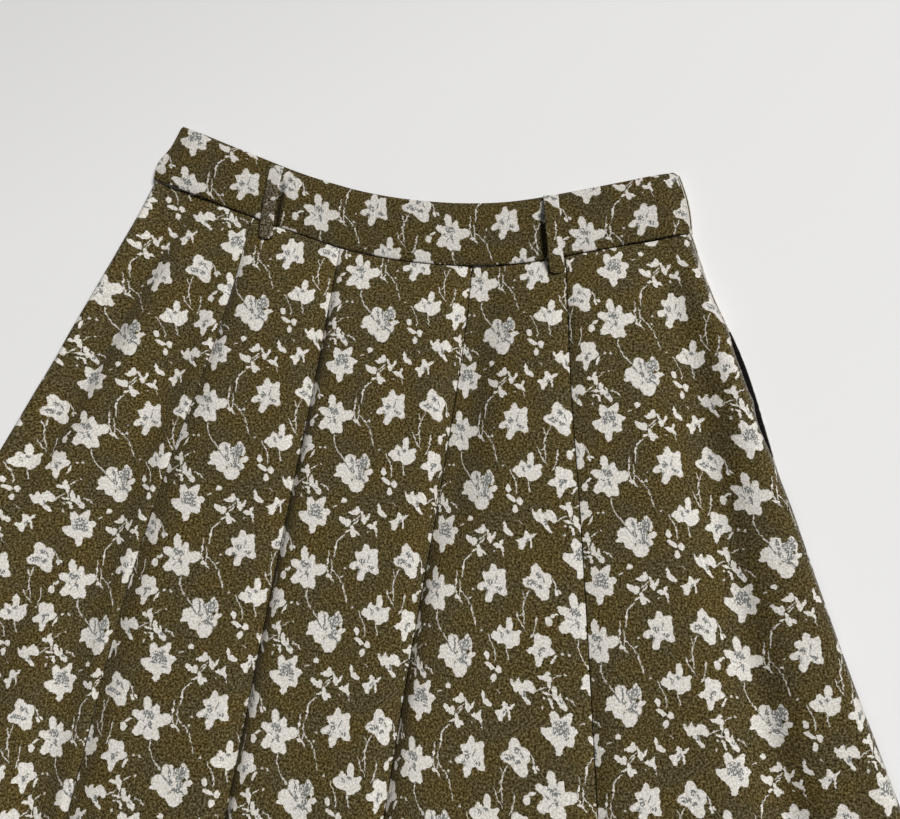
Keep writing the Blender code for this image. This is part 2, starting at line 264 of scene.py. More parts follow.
# Lengths down at which a gore's plan is worked out; the first places of a grid, over the cloth's rounded rim;
# and the first step after them and how much each step after that grows
STATIONS = np.linspace(0.0, GORE_LENGTH, 129)
RIM = np.array([0.0, 0.00008, 0.00025, 0.0005, 0.0009, 0.0015, 0.0025])
FIRST_STEP, STEP_GROWS, GROWING_STEPS = 0.0007, 1.14, 40

# The floor's half side, and how far it lies under the skirt; along what line its colour goes from painted
# shade to painted light, and between which places on that; and the factors of its two tones, with the share
# of the pale, painted-light one early on
FLOOR_REACH, FLOOR_UNDER = 2.5, 0.0004
FLOOR_PALES_ALONG, FLOOR_PALES_BETWEEN = (0.5, -0.9, 0.0), (-0.56, 0.04)
FLOOR_TONES, FLOOR_PALE_EARLY = (0.93, 1.08), 0.7
# Each light's place and size, and what they face; and the camera's place and turns, in degrees
SOFTBOXES = ("softbox", (9.1, 5.25, 15.0), 6.6), ("far_softbox", (-1.6, -0.8, 3.4), 1.5)
LIGHTS_FACE = 0.0, 0.05, 0.0
CAMERA_PLACE, CAMERA_TURNS = (0.0930, 0.0922, 0.5326), (11.384, 5.956, 8.012)

# The repeat's chart, in tenths of a millimetre, right and down from the middle of its largest flower. Each
# mark is an ellipse: its middle, its length and width, its turn clockwise in degrees, and, where it is bowed,
# how far its two ends bend aside.
REPEAT = 806, 938
CHART_UNIT = 1e-4
Mark = namedtuple("Mark", "across down length width turn bow", defaults=(0,))
LARGEST_FLOWER = (
    (0, 0, 100, 84, 20), (-76, -4, 80, 72, 20), (-98, 32, 46, 24, -15), (-46, 48, 72, 52, 60),
    (-42, -59, 86, 54, 82), (-22, -84, 32, 26, 0), (35, -50, 86, 56, -70), (46, -96, 42, 26, -75),
    (72, -62, 68, 28, 80), (90, -10, 54, 30, -20), (62, 26, 70, 50, 40), (28, 82, 90, 66, -5),
    (26, 108, 48, 30, 0), (4, -52, 52, 44, 0),
)
PETALS = (
    # seven small petals
    (163, 522, 96, 78, 60), (150, 444, 68, 42, 82), (203, 457, 64, 44, -62), (116, 486, 58, 38, 28),
    (95, 550, 58, 42, -28), (145, 600, 68, 46, 95), (220, 554, 62, 44, 35), (215, 504, 50, 38, 80),
    # the round petal on the right
    (622, 618, 96, 80, 60), (592, 519, 86, 48, 76), (649, 548, 58, 34, 85), (704, 602, 84, 70, -25),
    (665, 690, 70, 48, 55), (626, 696, 52, 38, 85), (570, 670, 82, 60, -52), (548, 586, 68, 46, 24),
    # the flower with the grey heart
    (612, 278, 106, 92, 60), (568, 210, 60, 44, 80), (635, 212, 66, 46, -55), (649, 189, 30, 20, -75),
    (680, 261, 54, 36, 12), (664, 316, 66, 48, 65), (613, 368, 70, 42, 90), (548, 301, 86, 48, 22),
    (578, 322, 60, 38, 20),
    # four wide petals
    (416, 470, 74, 60, 45), (389, 407, 84, 62, 78), (454, 438, 70, 42, 70), (360, 478, 82, 62, 4),
    (437, 522, 84, 64, 38),
    # the flower seen from its side
    (268, 792, 86, 50, 8), (280, 725, 84, 42, 84), (237, 759, 48, 28, 62), (209, 798, 52, 38, -30),
    (244, 820, 58, 32, -20), (330, 762, 50, 26, -45), (316, 794, 66, 50, 10), (304, 829, 66, 40, -38),
    # five petals with a pointed one below
    (461, 820, 86, 60, 85), (443, 764, 58, 50, 60), (493, 770, 54, 38, 78), (506, 824, 66, 38, -25),
    (416, 836, 58, 38, -22), (458, 882, 70, 34, 90),
    # the butterfly
    (392, 120, 56, 36, 60), (343, 99, 70, 20, 56), (364, 86, 64, 26, -78), (409, 82, 50, 36, -60),
    (438, 94, 64, 44, 60), (422, 162, 64, 22, 45),
    # the jagged small one
    (309, 246, 64, 34, -62), (312, 216, 48, 26, 60), (348, 216, 52, 15, -50), (343, 266, 48, 11, 82),
    (280, 262, 48, 22, 12), (294, 286, 44, 28, 85),
)
LEAVES = (
    # buds beside the largest flower, and the dot below it
    (176, -25, 44, 29, 70), (201, 28, 64, 25, 25), (252, 38, 42, 32, 70), (231, 87, 43, 30, 90),
    (-31, 180, 33, 31, 0),
    # spray of leaves
    (-9, 304, 84, 30, 34), (16, 300, 40, 30, 70), (50, 238, 54, 34, -20), (59, 218, 34, 20, 60),
    (22, 248, 34, 14, 15), (106, 274, 54, 26, 72), (129, 254, 48, 18, -70), (89, 238, 34, 13, 68),
    (159, 308, 58, 26, 12), (176, 290, 40, 18, -72), (188, 322, 32, 16, 60), (44, 334, 36, 18, 78),
    (56, 362, 54, 32, 70), (20, 358, 34, 13, -28), (80, 359, 36, 18, 25),
    # single leaf and small buds
    (209, 222, 60, 30, 28), (187, 196, 66, 19, 74), (509, 2, 34, 20, -60), (485, 26, 42, 22, 5),
    (517, 26, 42, 32, 60), (523, 48, 42, 20, 75), (484, 661, 48, 36, 80), (506, 623, 40, 16, -30),
    (502, 498, 38, 17, 60), (520, 490, 28, 14, 40),
    # cluster of leaves over the grey heart
    (554, 80, 54, 26, 78), (518, 101, 46, 14, 5), (564, 108, 38, 26, 20), (600, 136, 74, 32, 46),
    (588, 98, 36, 14, 75), (548, 148, 40, 16, 72), (536, 128, 28, 11, 15),
    # leaf beside the pointed petal, and knots in the long stems
    (530, 856, 58, 14, 112), (741, 546, 34, 11, 85), (762, 632, 40, 16, 10), (774, 455, 46, 12, 88),
)
STEMS = (
    (270, 154, 28, 4.3, 42), (484, 87, 64, 7.2, 143, 4), (556, 1, 48, 5.8, -38), (529, 86, 54, 5, 88),
    (642, 108, 26, 7.2, 15), (662, 122, 32, 7.2, 48), (60, 278, 60, 7.2, -46), (62, 296, 46, 7.9, -53),
    (196, 352, 40, 4.3, 66), (-10, 398, 52, 7.2, 131, 3), (-31, 436, 50, 7.2, 100), (-32, 490, 60, 6.5, 90),
    (357, 546, 56, 7.2, 104), (338, 556, 52, 5.8, 68), (344, 598, 42, 8.6, 102), (346, 638, 50, 8.6, 78),
    (356, 682, 56, 5.8, 80), (322, 674, 54, 5.8, 66), (352, 718, 54, 5.8, 48), (340, 656, 32, 5, 130),
    (420, 676, 54, 7.2, 88), (417, 724, 44, 6.5, 100), (410, 754, 34, 6.5, 118), (488, 446, 48, 6.5, 60),
    (498, 472, 34, 6.5, 70), (647, 744, 46, 7.2, 94), (652, 772, 36, 5.8, 66), (674, 814, 64, 5.8, 56, 2),
    (708, 850, 52, 5.8, 40), (724, 870, 36, 5.8, 42), (740, 506, 36, 5.8, 84), (744, 588, 54, 6.5, 76),
    (754, 612, 34, 7.2, 66), (782, 646, 42, 8.6, 42), (769, 566, 62, 6.5, 82), (773, 610, 44, 6.5, 94),
    (788, 602, 44, 5.8, 42), (820, 628, 36, 5.8, 36), (836, 648, 30, 6.5, 52), (862, 690, 70, 6.5, 68, 2),
    (886, 744, 50, 6.5, 70), (180, 820, 36, 6.5, 62), (200, 850, 46, 5.8, 54), (220, 890, 50, 5.8, 72),
    (226, 924, 30, 5, 86), (286, 870, 46, 7.2, 72), (296, 900, 32, 6.5, 66),
    # specks
    (-78, 219, 28, 7, -20), (42, 572, 13, 11, 0), (36, 621, 14, 12, 0), (569, 813, 16, 13, 0),
    (604, 813, 16, 14, 0), (598, -18, 14, 9, 20), (128, 785, 13, 11, 0), (506, 178, 12, 18, 0),
    (508, 130, 14, 12, 0), (621, 101, 12, 10, 0), (140, 342, 10, 9, 0),
)
SHADES = (
    (42, -54, 100, 66, -75), (-24, -56, 64, 20, 74), (-12, -6, 50, 26, 60), (28, 34, 54, 26, 12),
    (46, 2, 46, 40, 0), (137, 516, 46, 34, 60), (198, 544, 46, 24, 25), (120, 558, 32, 22, 80),
    (612, 584, 70, 44, 20), (628, 636, 46, 20, 72), (607, 238, 74, 36, -14), (627, 269, 62, 50, 0),
    (588, 276, 50, 40, 80), (646, 302, 32, 26, 0), (372, 474, 60, 34, 0), (418, 488, 34, 26, 0),
    (404, 428, 38, 30, 70), (278, 768, 30, 22, 0), (246, 788, 40, 18, 60), (458, 832, 54, 22, 85),
    (476, 816, 26, 22, 0), (406, 130, 36, 20, 80), (596, 126, 28, 18, 20), (318, 250, 34, 18, -60),
)
VEINS = (
    (-54, -32, 76, 9, 48), (56, 40, 80, 11, 36, 4), (1, -72, 56, 12, 86), (-30, -68, 50, 6, 80),
    (174, 496, 50, 7, 100), (634, 644, 54, 8, 72), (604, 654, 40, 7, -50), (584, 622, 44, 7, 30),
    (422, 488, 24, 12, 20), (434, 446, 50, 8, 66), (276, 766, 20, 12, 10), (406, 128, 36, 8, 70),
    (460, 836, 46, 7, 95), (132, 574, 34, 7, 100), (196, 576, 34, 6, 60),
)

# The waistband is cut along its own curve, so its print turns half as much as it does; the back's starts
# further on
BAND_PRINT_START, BAND_PRINT_STRETCH = 0.0441, 1.080
BAND_PRINT_DROP, BAND_PRINT_BEND, BAND_PRINT_MIDDLE = -0.0618, 0.753, 0.174
BACK_BAND_PRINT = 0.031
# How far the band's print is pulled, at places across: to the right, how much more so at its foot than at
# its top, and down
BAND_PULLS = table(
    "across right lean down",
    (-0.175, -0.0043, 0.0004, 0.0000),
    (-0.160, -0.0041, 0.0005, 0.0004),
    (-0.140, -0.0030, 0.0006, 0.0012),
    (-0.120, -0.0012, 0.0011, 0.0019),
    (-0.105, 0.0003, 0.0005, 0.0020),
    (-0.085, 0.0018, 0.0004, 0.0015),
    (-0.070, 0.0031, 0.0016, 0.0014),
    (-0.050, 0.0028, 0.0027, 0.0007),
    (-0.030, 0.0020, 0.0028, 0.0001),
    (-0.008, 0.0013, 0.0014, 0.0002),
    (0.011, 0.0031, 0.0008, 0.0006),
    (0.027, 0.0020, 0.0007, 0.0011),
    (0.045, 0.0003, 0.0008, 0.0012),
    (0.067, -0.0017, -0.0010, 0.0010),
    (0.085, -0.0019, -0.0012, 0.0011),
    (0.105, -0.0003, -0.0010, 0.0028),
    (0.125, -0.0010, -0.0017, 0.0023),
    (0.150, -0.0019, -0.0006, 0.0009),
    (0.173, -0.0029, 0.0000, 0.0012),
)


def smooth(places, values, at):
    """A smooth curve through the values: between two places, the cubic whose slopes are those of the
    neighbours' chords."""
    places, values, at = (np.asarray(each, float) for each in (places, values, at))
    slopes = np.gradient(values, places)
    i = np.clip(np.searchsorted(places, at) - 1, 0, len(places) - 2)
    step = places[i + 1] - places[i]
    t = (at - places[i]) / step
    rise = values[i + 1] - values[i]
    bend_in = slopes[i] * step - rise
    bend_out = rise - slopes[i + 1] * step
    return values[i] + t * rise + t * (1 - t) * ((1 - t) * bend_in + t * bend_out)


def smoothstep(at, start, end):
    """0 before the start, 1 after the end, and 3t^2 - 2t^3 between them."""
    t = np.clip((at - start) / (end - start), 0, 1)
    return t * t * (3 - 2 * t)


def bell(share):
    """exp(-share^2)"""
    return np.exp(-(share**2))


def column_of(rows, name):
    """One named column of a table."""
    return [getattr(row, name) for row in rows]


def line_across(line, down):
    """How far across the skirt a line of the sections lies, at lengths down."""
    return smooth(column_of(SECTIONS, "down"), column_of(SECTIONS, line), down)


def along_waist(column, across):
    """A column of the waist seam's table, at places across."""
    return smooth(column_of(WAIST_SEAM, "across"), column_of(WAIST_SEAM, column), across)


def zip_inset(down):
    """How far the front's right edge stays behind the back's: along the zip, and more where it gapes, but
    for a pinch."""
    along_zip = 1 - smoothstep(down, *ZIP_END)
    opens = smoothstep(down, SLIT.start, SLIT.start + SLIT_OPENS_OVER)
    closes = smoothstep(down, SLIT.end - SLIT_CLOSES_OVER, SLIT.end)
    pinch = SLIT_PINCH * bell((down - SLIT_PINCHED_AT) / SLIT_PINCH_OVER)
    return ZIP_INSET * along_zip + SLIT.inset * (opens - closes) * (1 - pinch)


def gore_plan(gore, shares, downs, front):
    """Across and drop of a gore's points, as arrays of [down, share]: across is the blend of the gore's
    two lines, and the drop adds up the fall of each thread, which is as long as the gore."""
    left, right = LINES[gore], LINES[gore + 1]
    left_line = line_across(left, STATIONS) + (GAP / 2 if gore else 0)
    right_line = line_across(right, STATIONS) - (GAP / 2 if gore < len(GORES) - 1 else 0)
    if front and right == "right_edge":
        right_line = right_line - zip_inset(STATIONS)
    across = left_line[:, None] * (1 - shares) + right_line[:, None] * shares
    fall = np.sqrt(1 - np.gradient(across, STATIONS, axis=0) ** 2)
    step = np.diff(STATIONS)[:, None] * (fall[1:] + fall[:-1]) / 2
    top = along_waist("drop", across[0])
    drop = top + np.vstack([np.zeros(len(shares)), np.cumsum(step, axis=0)])
    at = [[np.interp(downs, STATIONS, column) for column in table.T] for table in (across, drop)]
    return np.array(at[0]).T, np.array(at[1]).T


def fine_steps(length, pitch):
    """Places along a length: over the rounded rim at each end, then a little further apart with each step,
    up to the pitch, and even between."""
    grow = RIM[-1] + FIRST_STEP * np.cumsum(STEP_GROWS ** np.arange(GROWING_STEPS))
    near = np.concatenate([RIM, grow[:np.argmax(np.diff(grow) > pitch)]])
    near = near[near < length / 2 - pitch / 2]
    middle = np.linspace(near[-1], length - near[-1], max(2, round((length - 2 * near[-1]) / pitch)) + 1)
    return np.concatenate([near[:-1], middle, length - near[-2::-1]])


def waver(across, drop):
    """The sum of the waves, each a sine along its own turned line."""
    height = np.zeros_like(across)
    for wave in WAVES:
        turn = np.radians(wave.turn)
        along = across * np.cos(turn) + drop * np.sin(turn)
        height += wave.height * np.sin(2 * np.pi * along / wave.length + wave.shift)
    return height


def band_waver(across, drop):
    """The waves, shorter and lower, for the stiffer band."""
    return waver(across * BAND_WAVES_SHORTER, drop * BAND_WAVES_SHORTER) * BAND_WAVES_LOWER


def sink_at(line, column, downs):
    """A column of a seam's sinks at lengths down, straight between the rows."""
    rows = SINKS[line]
    return np.interp(downs, column_of(rows, "down"), column_of(rows, column))[:, None]


def front_lift(gore, across, downs):
    """Height of the front's underside over the back: low at the seams and the hem, full between them, less
    the soft troughs. It rises from a seam as 1 - exp(-(away / reach)^p), and from a side edge along a quarter
    of an ellipse. A trough is a bell across its line, and fades out at its two ends."""
    down = downs[:, None]
    full = LIFT_AT_BAND + (LIFT_OF_GORE - LIFT_AT_BAND) * smoothstep(down, 0, LIFT_REACHED)
    full = full - (LIFT_OF_GORE - LIFT_AT_HEM) * smoothstep(down, GORE_LENGTH - HEM_FALLS_OVER, GORE_LENGTH)
    full = full - TUCK_DEPTH * bell(down / TUCK_OVER)
    lift = full + 0 * across
    for fold in FOLDS:
        way = (down - fold.start) / (fold.end - fold.start)
        offset = fold.offset_start + (fold.offset_end - fold.offset_start) * way
        from_middle = across - line_across(fold.line, downs)[:, None] - offset
        share = from_middle / np.where(from_middle < 0, fold.left, fold.right)
        fade = smoothstep(way, 0, FOLD_FADES) - smoothstep(way, 1 - FOLD_FADES, 1)
        lift = lift - fold.depth * fade * bell(share)
    for number in (gore, gore + 1):
        line = LINES[number]
        along = line_across(line, downs)
        if line == "right_edge":
            along = along - zip_inset(downs)
        away = np.abs(across - along[:, None])
        if line.endswith("edge"):
            low = LIFT_AT_EDGE
            rise = np.sqrt(1 - np.clip(1 - away / EDGE_ROLLS_OVER[line], 0, 1) ** 2)
        else:
            low = np.minimum(sink_at(line, "bottom", downs), full)
            reach = sink_at(line, "right" if number == gore else "left", downs)
            rise = 1 - np.exp(-((away / reach) ** SEAM_STEEPNESS))
        lift = low + (lift - low) * rise
    return np.maximum(lift + waver(across, down + 0 * across) * smoothstep(lift, *WAVES_START_AT), 0)


def rim_distance(across, drop):
    """How far each point of a grid lies from the grid's nearest edge, measured along its rows and columns."""
    point = np.stack([across, drop], axis=-1)
    along = np.linalg.norm(np.diff(point, axis=1), axis=-1)
    from_left = np.hstack([np.zeros((len(across), 1)), np.cumsum(along, axis=1)])
    below = np.linalg.norm(np.diff(point, axis=0), axis=-1)
    from_top = np.vstack([np.zeros((1, across.shape[1])), np.cumsum(below, axis=0)])
    return np.minimum.reduce([
        from_left, from_left[:, -1:] - from_left, from_top, from_top[-1:] - from_top
    ])


def cloth_area(across, drop):
    """Flat area of a grid of points: half the cross product of each cell's diagonals, added up."""
    first = across[1:, 1:] - across[:-1, :-1], drop[1:, 1:] - drop[:-1, :-1]
    second = across[1:, :-1] - across[:-1, 1:], drop[1:, :-1] - drop[:-1, 1:]
    return float(np.abs(first[0] * second[1] - first[1] * second[0]).sum() / 2)


def cloth_shell(name, across, drop, top, thickness, print_at, wear=0.0, darker=0.0):
    """A closed layer of cloth with a rounded rim. Its upper side is the grid of points at the height top,
    its lower side the same grid a thickness under it, and within half a thickness of the edge both turn in
    by 1 - sqrt(1 - (1 - d/r)^2) of r, so that they meet there."""
    rows, columns = across.shape
    radius = thickness / 2
    inward = np.clip(1 - rim_distance(across, drop) / radius, 0, 1)
    turned = radius * (1 - np.sqrt(1 - inward**2))
    x, y = across - MIDDLE_ACROSS, MIDDLE_DROP - drop
    upper = np.stack([x, y, top - turned], axis=-1).reshape(-1, 3)
    lower = np.stack([x, y, top - thickness + turned], axis=-1).reshape(-1, 3)
    number = np.arange(rows * columns).reshape(rows, columns)
    under = number + rows * columns
    for edge in (np.s_[0, :], np.s_[-1, :], np.s_[:, 0], np.s_[:, -1]):
        under[edge] = number[edge]
    faces = [
        np.stack([n[:-1, :-1], n[1:, :-1], n[1:, 1:], n[:-1, 1:]], axis=-1).reshape(-1, 4)
        for n in (number, under)
    ]
    faces = np.concatenate([faces[0], faces[1][:, ::-1]])
    used, faces = np.unique(faces, return_inverse=True)
    place = np.stack(print_at, axis=-1).reshape(-1, 2)
    place = np.concatenate([place, place])[used]
    mesh = new_mesh(name, np.concatenate([upper, lower])[used], faces.reshape(-1, 4), place)
    # Painted sheen goes in the first attribute; darker colour and painted shade go in the second
    for look, value in (("wear", wear), ("darker", darker)):
        value = np.broadcast_to(value, across.shape).ravel()
        mesh.attributes.new(look, "FLOAT", "POINT").data.foreach_set(
            "value", np.concatenate([value, value])[used]
        )
    return new_piece(name, mesh)


def new_mesh(name, points, faces, print_at=None):
    """A smooth mesh, with the print's place at each point as its UV map."""
    mesh = bpy.data.meshes.new(name)
    mesh.from_pydata(points, [], faces)
    if print_at is not None:
        corner = np.empty(len(mesh.loops), int)
        mesh.loops.foreach_get("vertex_index", corner)
        mesh.uv_layers.new(name="cloth").data.foreach_set("uv", print_at[corner].ravel())
    mesh.shade_smooth()
    return mesh


def new_piece(name, mesh):
    piece = bpy.data.objects.new(name, mesh)
    bpy.context.scene.collection.objects.link(piece)
    return piece


def sew(node, grid, thickness, print_at, finish, under=None, wear=0.0, darker=0.0):
    """A piece of cloth from its grid of across, drop and top. It rides in place of its solid, with the
    material of its finish."""
    across, drop, top = grid
    piece = cloth_shell(node + "_cloth", across, drop, top, thickness, print_at, wear, darker)
    material, slot = finish
    piece.data.materials.append(material)
    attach(piece, "root")
    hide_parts(node)
    [under + "_cloth"] if under else []
    cloth_area(across, drop)


def print_place(grain, across, drop, top=0.0, pull=None, mirrored=False):
    """Where points lie in the print, right and down from the start of the gore's repeat, in metres: their
    place from that start, turned back by the grain's turn, less the pull. Where a row of the cloth climbs and
    falls, its length grows by that, to both sides from the gore's middle."""
    climb = np.diff(top + 0 * across, axis=1)
    flat = np.diff(across, axis=1)
    longer = np.cumsum(np.hypot(flat, climb) - flat, axis=1)
    longer = np.hstack([np.zeros((len(across), 1)), longer])
    longer = longer - longer[:, across.shape[1] // 2 :][:, :1]
    turn = np.radians(grain.turn)
    right, down = across + longer - grain.across, drop - grain.drop
    place = right * np.cos(turn) + down * np.sin(turn), down * np.cos(turn) - right * np.sin(turn)
    if pull:
        right, down = (np.clip(each, *reach) for each, reach in zip(place, PULL_REACH))
        terms = np.stack([1 + 0 * right, right, down, right**2, right * down, down**2], axis=-1)
        place = place[0] - terms @ pull.right, place[1] - terms @ pull.down
    return (-place[0] if mirrored else place[0]), place[1]


class Wire:
    """A socket of a finish's nodes. Sums and products of numbers add Math nodes, those of vectors and
    colours Vector Math nodes."""

    def __init__(self, finish, socket):
        self.finish, self.socket = finish, socket

    def apply(self, operation, *values):
        kind = "ShaderNodeMath" if self.socket.type == "VALUE" else "ShaderNodeVectorMath"
        return self.finish.add(kind, {"operation": operation}, values)

    def __add__(self, other):
        return self.apply("ADD", self, other)

    def __sub__(self, other):
        return self.apply("SUBTRACT", self, other)

    def __mul__(self, other):
        return self.apply("MULTIPLY", self, other)

    def __rsub__(self, other):
        return self.apply("SUBTRACT", other, self)

    __radd__, __rmul__ = __add__, __mul__

    def least(self, other, blend):
        return self.apply("SMOOTH_MIN" if blend else "MINIMUM", self, other, blend)

    def times_plus(self, factor, more):
        return self.apply("MULTIPLY_ADD", self, factor, more)

    def within(self, low, high):
        """0 at low and 1 at high, straight between them."""
        share = {"Value": self, "From Min": low, "From Max": high}
        return self.finish.add("ShaderNodeMapRange", {"clamp": True}, share, "Result")


class Finish:
    """A material and the nodes behind its Principled shader."""

    def __init__(self, name, constants):
        self.material = bpy.data.materials.new(name)
        self.material.use_nodes = True
        self.tree = self.material.node_tree
        self.shader = self.tree.nodes["Principled BSDF"]
        for socket, value in constants.items():
            self.shader.inputs[socket].default_value = value

    def put(self, socket, value):
        """Links a socket, or sets it. A colour is given without its alpha."""
        if isinstance(value, Wire):
            self.tree.links.new(value.socket, socket)
        else:
            socket.default_value = (*value, 1) if socket.type == "RGBA" else value

    def add(self, kind, settings, values, output=None):
        """A node of a kind: its settings are set first, then its sockets' values or links, which are given
        in order or by their identifiers. Returns its first live output, or the one that is named."""
        node = self.tree.nodes.new(kind)
        for name, setting in settings.items():
            if name == "stops":
                set_stops(node.color_ramp, setting)
            else:
                setattr(node, name, setting)
        by_name = {socket.identifier: socket for socket in node.inputs}
        pairs = values.items() if isinstance(values, dict) else zip(list(by_name), values)
        for name, value in pairs:
            self.put(by_name[name], value)
        live = [each for each in node.outputs if each.enabled and output in (None, each.identifier)]
        return Wire(self, live[0])

    def noise(self, place, stretch, detail=2.0, roughness=0.5, output="Fac"):
        """Flat noise whose grains are 1/stretch of a metre wide."""
        values = {"Vector": place * stretch, "Scale": 1.0, "Detail": detail, "Roughness": roughness}
        return self.add("ShaderNodeTexNoise", {"noise_dimensions": "2D"}, values, output)

    def mix(self, share, first, second):
        values = {"Factor_Float": share, "A_Color": first, "B_Color": second}
        return self.add("ShaderNodeMix", {"data_type": "RGBA"}, values, "Result_Color")

    def ramp(self, share, stops):
        return self.add("ShaderNodeValToRGB", {"stops": stops}, {"Fac": share}, "Color")

    def bump(self, height, distance, strength):
        values = {"Height": height, "Distance": distance, "Strength": strength}
        return self.add("ShaderNodeBump", {}, values, "Normal")

    def shade(self, links):
        for socket, value in links.items():
            self.put(self.shader.inputs[socket], value)
        return self.material


def set_stops(ramp, stops):
    while len(ramp.elements) < len(stops):
        ramp.elements.new(1.0)
    for element, (place, colour) in zip(ramp.elements, stops):
        element.position = place
        element.color = *colour, 1


def windows_of(place):
    """The cloth's place on the chart, wrapped to one repeat about four points of it, so that each mark lies
    well inside one of them. The third number is 1, for the marks' offsets."""
    made = {}
    for share_across in (0.0, 0.5):
        for share_down in (0.0, 0.5):
            centre = share_across * REPEAT[0], share_down * REPEAT[1]
            to_chart = 1 / CHART_UNIT, 1 / CHART_UNIT, 0
            moved = place.apply("MULTIPLY_ADD", place, to_chart, (-centre[0], -centre[1], 1))
            high, low = (REPEAT[0] / 2, REPEAT[1] / 2, 2), (-REPEAT[0] / 2, -REPEAT[1] / 2, 0)
            made[centre] = moved.apply("WRAP", moved, high, low)
    return made


def wrapped(offset, length):
    return (offset + length / 2) % length - length / 2


def nearness(windows, marks, blend=0.0):
    """The least of (along / half length)^2 + (aside / half width)^2 over the marks, where a bowed mark's
    aside grows with the square of its along. It is 1 on a mark's outline. A blend rounds the joints of marks
    that touch."""
    least = None
    for mark in (Mark(*each) for each in marks):
        offsets = {
            centre: (wrapped(mark.across - centre[0], REPEAT[0]), wrapped(mark.down - centre[1], REPEAT[1]))
            for centre in windows
        }
        centre = min(offsets, key=lambda each: max(map(abs, offsets[each])))
        right, down = offsets[centre]
        place = windows[centre]
        cos, sin = np.cos(np.radians(mark.turn)), np.sin(np.radians(mark.turn))
        half_length, half_width = mark.length / 2, mark.width / 2
        to_along = np.array([cos, sin, -(right * cos + down * sin)]) / half_length
        to_aside = np.array([-sin, cos, right * sin - down * cos]) / half_width
        along, aside = (place.apply("DOT_PRODUCT", place, tuple(each)) for each in (to_along, to_aside))
        square = along * along
        if mark.bow:
            aside = square.times_plus(mark.bow / half_width, aside)
        reach = aside.times_plus(aside, square)
        least = reach if least is None else least.least(reach, blend)
    return least


def jacquard(cloth):
    """The cloth, made once, and its slot: an olive ground with slubs and flecks, the chart's flowers woven in
    off-white, and grey flecks in their hearts. A wider blend fattens a flower, so more is added to it."""
    if "olive_jacquard" in bpy.data.materials:
        return bpy.data.materials["olive_jacquard"], "jacquard"
    finish = Finish("olive_jacquard", {"Roughness": 0.9, "Sheen Weight": 0.03, "Specular IOR Level": 0.12})
    place = finish.add("ShaderNodeUVMap", {"uv_map": "cloth"}, {}, "UV")
    ragged = finish.noise(place, (520, 560, 0), 2.0, 0.6, "Color")
    windows = windows_of(place + (ragged - (0.5, 0.5, 0.5)) * (0.0021, 0.0021, 0))
    flecks = finish.noise(place, (800, 740, 0), 2.0, 0.75)
    yarns = finish.noise(place, (520, 1500, 0), 1.5)
    cloudy = finish.noise(place, (38, 52, 0), 3.0, 0.6)
    bloom = (nearness(windows, LARGEST_FLOWER, 2.5) + 0.09).least(nearness(windows, PETALS, 4.6) + 0.17, 0.0)
    bloom = bloom.least(nearness(windows, LEAVES, 1.5), 0.0)
    bloom = 1 - (bloom + flecks.times_plus(0.6, -0.3)).within(0.97, 1.09)
    stem = 1 - (nearness(windows, STEMS) + yarns.times_plus(2.6, -1.3)).within(0.6, 1.5)
    flower = bloom.apply("MAXIMUM", bloom, stem * 0.85)
    shade = 1 - nearness(windows, SHADES).within(0.3, 1.3)
    vein = 1 - (nearness(windows, VEINS) + yarns.times_plus(3.0, -1.5)).within(0.7, 1.2)
    ground = finish.ramp(flecks, [
        (0.30, (0.13, 0.10, 0.02)),
        (0.42, (0.53, 0.475, 0.34)),
        (0.54, (1.08, 1.08, 1.12)),
        (0.70, (2.45, 2.62, 3.7)),
    ])
    olive = finish.mix(cloudy.within(0.35, 0.65), cloth.ground, cloth.ground_patches)
    ground = ground.apply("MULTIPLY", ground, olive)
    strokes = finish.noise(place, (1150, 760, 0), 1.0, 0.5)
    grey = (strokes + shade * 0.16).within(0.555, 0.615) * shade.within(0.02, 0.2)
    grey = grey.apply("MAXIMUM", grey, vein)
    petal = finish.mix(flecks.within(0.32, 0.68), (0.51, 0.485, 0.44), cloth.flower)
    petal = finish.mix(grey, petal, cloth.stipple)
    # This attribute is mostly painted sheen: pale grey on the side edges, on the fold edges at the zip and on
    # the left loop
    wear = finish.add("ShaderNodeAttribute", {"attribute_name": "wear"}, {}, "Fac")
    pale = (wear + flecks.times_plus(0.9, -0.45)).within(0.45, 0.62)
    colour = finish.mix(flower, ground, petal)
    worn = finish.mix(wear.within(0.55, 0.9), cloth.worn, cloth.flower)
    colour = finish.mix(pale * 0.75, colour, worn)
    # This attribute darkens the band and the loops, and carries the painted shade in the creases beside the
    # loops
    darker = finish.add("ShaderNodeAttribute", {"attribute_name": "darker"}, {}, "Fac")
    colour = colour.apply("MULTIPLY", colour, 1 - darker)
    relief = flecks * 0.8 + yarns * 0.5
    return finish.shade({"Base Color": colour, "Normal": finish.bump(relief, 0.0005, 0.5)}), "jacquard"


def zip_tape():
    """Dark tape with a fine rib, and its slot."""
    finish = Finish("dark_zip_tape", {"Roughness": 0.95, "Specular IOR Level": 0.05})
    place = finish.add("ShaderNodeUVMap", {"uv_map": "cloth"}, {}, "UV")
    rib = finish.noise(place, (300, 3000, 0), 1.0)
    colour = finish.ramp(rib, [(0.3, (0.002, 0.002, 0.002)), (0.7, (0.014, 0.012, 0.011))])
    return finish.shade({"Base Color": colour, "Normal": finish.bump(rib, 0.0002, 0.5)}), "zip_tape"


def measure(name, description, default):
    return FloatProperty(name=name, description=description, default=default, min=0.0001, unit="LENGTH")


def tint(name, description, default):
    return FloatVectorProperty(name=name, description=description, default=default, subtype="COLOR")


